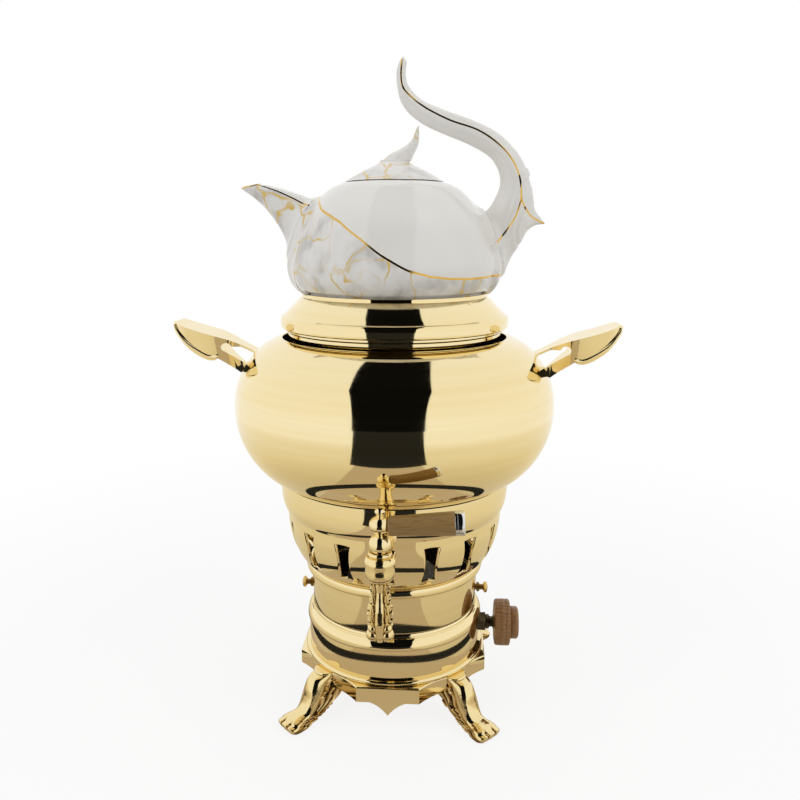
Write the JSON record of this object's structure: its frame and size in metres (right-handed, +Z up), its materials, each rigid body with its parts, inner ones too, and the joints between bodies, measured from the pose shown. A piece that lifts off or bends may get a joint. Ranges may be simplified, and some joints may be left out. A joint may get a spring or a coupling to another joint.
{
  "type": "gas samovar",
  "caption": "Gas samovar with a round water tank on a vented waist, lion-paw legs, a lever tap in front, a gas knob at the side and a porcelain teapot on top.",
  "frame": {"origin": "on the table plane, under the axis of the tank and the drums", "axes": "+Z up along the tank axis, -Y towards the tap, +X towards the gas knob and the teapot's handle"},
  "size_m": [0.34, 0.2612, 0.4859],
  "materials": {
    "gold_sheet": "mirror polished stainless steel sheet with a gold titanium nitride coat",
    "cast_brass": "cast brass, polished on the high places and darker in the hollows",
    "steel": "plain steel, satin",
    "rubber": "moulded rubber, matt",
    "wood": "turned hardwood, brown stain, satin lacquer",
    "chrome": "chromium plated, bright",
    "valve_brass": "dull, darkened brass",
    "burner_metal": "cast aluminium, as cast",
    "porcelain": "white glazed porcelain with printed marble and a gold line"
  },
  "bodies": {
    "stand": {"base_plate": "gold_sheet", "leg_back_right": "cast_brass", "leg_back_left": "cast_brass", "leg_front_left": "cast_brass", "leg_front_right": "cast_brass", "leg_screws": "steel", "lower_drum": "gold_sheet", "base_ring": "gold_sheet", "drum_collar": "gold_sheet", "waist_drum": "gold_sheet", "inner_sleeve": "steel", "waist_ring": "gold_sheet", "vent_band": "gold_sheet", "tank_cup": "gold_sheet", "tank_body": "gold_sheet", "neck_ring": "gold_sheet", "handle_right": "gold_sheet", "handle_left": "gold_sheet", "tap_body": "cast_brass", "tap_gasket": "rubber", "tap_washer": "rubber", "tap_back_nut": "cast_brass", "plug_ring": "cast_brass", "valve_body": "valve_brass", "gland_nut": "valve_brass", "gas_jet": "valve_brass", "mixing_tube": "burner_metal", "burner_head": "burner_metal", "burner_cap": "burner_metal", "burner_bridge": "steel", "inlet_nozzle": "valve_brass", "inlet_nut": "valve_brass", "gas_pipe": "valve_brass"},
    "tap_key": {"tap_plug": "cast_brass", "lever_wood": "wood", "lever_rod": "steel", "lever_cap": "chrome"},
    "gas_knob": {"valve_stem": "valve_brass", "knob_disc": "wood", "knob_hub": "wood", "knob_screw": "steel"},
    "cover": {"tank_cover": "gold_sheet"},
    "pot": {"teapot": "porcelain", "teapot_spout": "porcelain", "teapot_handle": "porcelain"},
    "lid": {"teapot_lid": "porcelain"},
    "right_thumb_screw": {"thumb_screw_right": "cast_brass"},
    "left_thumb_screw": {"thumb_screw_left": "cast_brass"}
  },
  "joints": [
    {"name": "tap_turn", "type": "hinge", "parent": "stand", "child": "tap_key", "pos_m": [0, -0.13, 0.1605], "axis": [0, 0, 1], "range_deg": [-90, 0]},
    {"name": "gas_turn", "type": "hinge", "parent": "stand", "child": "gas_knob", "pos_m": [0.0745, 0, 0.054], "axis": [1, 0, 0], "range_deg": [0, 270]},
    {"name": "cover_lift", "type": "slide", "parent": "stand", "child": "cover", "axis": [0, 0, 1], "range_m": [0, 0.15]},
    {"name": "teapot_lift", "type": "slide", "parent": "cover", "child": "pot", "axis": [0, 0, 1], "range_m": [0, 0.12]},
    {"name": "lid_lift", "type": "slide", "parent": "pot", "child": "lid", "axis": [-0.766, 0, 0.6428], "range_m": [0, 0.12]},
    {"name": "right_screw_turn", "type": "hinge", "parent": "stand", "child": "right_thumb_screw", "pos_m": [0.0665, 0, 0.0845], "axis": [1, 0, 0], "continuous": true},
    {"name": "left_screw_turn", "type": "hinge", "parent": "stand", "child": "left_thumb_screw", "pos_m": [-0.0665, 0, 0.0845], "axis": [-1, 0, 0], "continuous": true}
  ]
}
